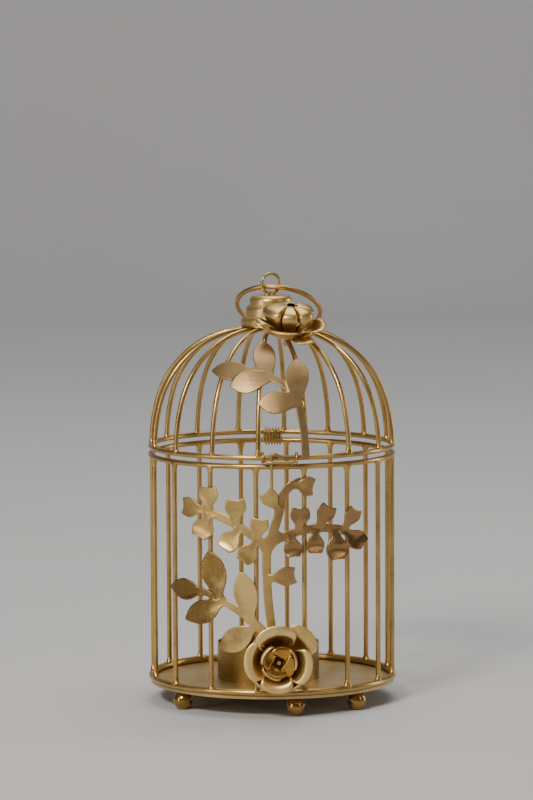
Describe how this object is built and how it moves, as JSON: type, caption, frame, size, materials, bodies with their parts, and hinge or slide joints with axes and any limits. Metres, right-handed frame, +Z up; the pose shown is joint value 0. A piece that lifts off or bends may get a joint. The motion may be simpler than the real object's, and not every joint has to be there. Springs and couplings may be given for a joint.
{
  "type": "bird cage tealight holder",
  "caption": "Round gold wire bird cage on ball feet with a hinged dome lid, hook latch, hanging ring, a leaf vine with roses, and a cup inside for a tealight.",
  "frame": {"origin": "on the floor under the axis of the cage, in the plane of the feet's flats", "axes": "+Z up along the cage axis, -Y to the front where the vine and rose are, +X to the viewer's right"},
  "size_m": [0.1, 0.1115, 0.1726],
  "materials": {
    "bar_wire": "satin metallic gold paint on drawn iron wire",
    "dome_wire": "satin metallic gold paint on drawn iron wire",
    "ring_wire": "satin metallic gold paint on drawn iron wire",
    "foot_ball": "satin metallic gold paint on a turned steel ball",
    "plate_sheet": "satin metallic gold paint on flat sheet",
    "cup_sheet": "satin metallic gold paint on drawn sheet",
    "leaf_sheet": "fine-grained metallic gold paint on cut sheet",
    "petal_sheet": "fine-grained metallic gold paint on pressed sheet",
    "cap_sheet": "satin metallic gold paint on spun sheet",
    "fixing": "satin metallic gold paint",
    "bent_wire": "satin metallic gold paint on bent wire",
    "hanger_wire": "satin metallic gold paint on bent wire",
    "coil_wire": "satin metallic gold paint on wound wire"
  },
  "bodies": {
    "cage": {"base_plate": "plate_sheet", "base_ring": "ring_wire", "ball_foot_1": "foot_ball", "ball_foot_2": "foot_ball", "ball_foot_3": "foot_ball", "ball_foot_4": "foot_ball", "candle_cup": "cup_sheet", "body_ring": "ring_wire", "cage_bar_01": "bar_wire", "cage_bar_02": "bar_wire", "cage_bar_03": "bar_wire", "cage_bar_04": "bar_wire", "cage_bar_05": "bar_wire", "cage_bar_06": "bar_wire", "cage_bar_07": "bar_wire", "cage_bar_08": "bar_wire", "cage_bar_09": "bar_wire", "cage_bar_10": "bar_wire", "cage_bar_11": "bar_wire", "cage_bar_12": "bar_wire", "cage_bar_13": "bar_wire", "cage_bar_14": "bar_wire", "cage_bar_15": "bar_wire", "cage_bar_16": "bar_wire", "flower_vine": "leaf_sheet", "leaf_spray": "leaf_sheet", "catch_hook": "bent_wire", "rose_outer_petals": "petal_sheet", "rose_inner_petals": "petal_sheet", "rose_bud": "petal_sheet", "rose_pin": "fixing"},
    "dome": {"dome_ring": "ring_wire", "dome_wire_01": "dome_wire", "dome_wire_02": "dome_wire", "dome_wire_03": "dome_wire", "dome_wire_04": "dome_wire", "dome_wire_05": "dome_wire", "dome_wire_06": "dome_wire", "dome_wire_07": "dome_wire", "dome_wire_08": "dome_wire", "dome_wire_09": "dome_wire", "dome_wire_10": "dome_wire", "dome_wire_11": "dome_wire", "dome_wire_12": "dome_wire", "dome_wire_13": "dome_wire", "dome_wire_14": "dome_wire", "dome_wire_15": "dome_wire", "dome_wire_16": "dome_wire", "crown_plate": "fixing", "cap": "cap_sheet", "hanger_eye": "bent_wire", "hinge_coil": "coil_wire", "dome_leaf_branch": "leaf_sheet", "cap_flower_petals": "petal_sheet", "cap_flower_bud": "petal_sheet", "cap_flower_stem": "fixing"},
    "latch_bail": {"latch_bail": "bent_wire"},
    "hanging_ring": {"hanging_ring": "hanger_wire"}
  },
  "joints": [
    {"name": "dome_hinge", "type": "hinge", "parent": "cage", "child": "dome", "pos_m": [0, 0.04865, 0.09955], "axis": [-1, 0, 0], "range_deg": [0, 130]},
    {"name": "bail_pivot", "type": "hinge", "parent": "dome", "child": "latch_bail", "pos_m": [0.0034, -0.04807, 0.10305], "axis": [-0.9975, -0.0706, 0], "range_deg": [0, 110]},
    {"name": "ring_swing", "type": "hinge", "parent": "dome", "child": "hanging_ring", "pos_m": [0, 0, 0.16683], "axis": [0.9759, -0.2181, 0], "range_deg": [0, 195]}
  ]
}
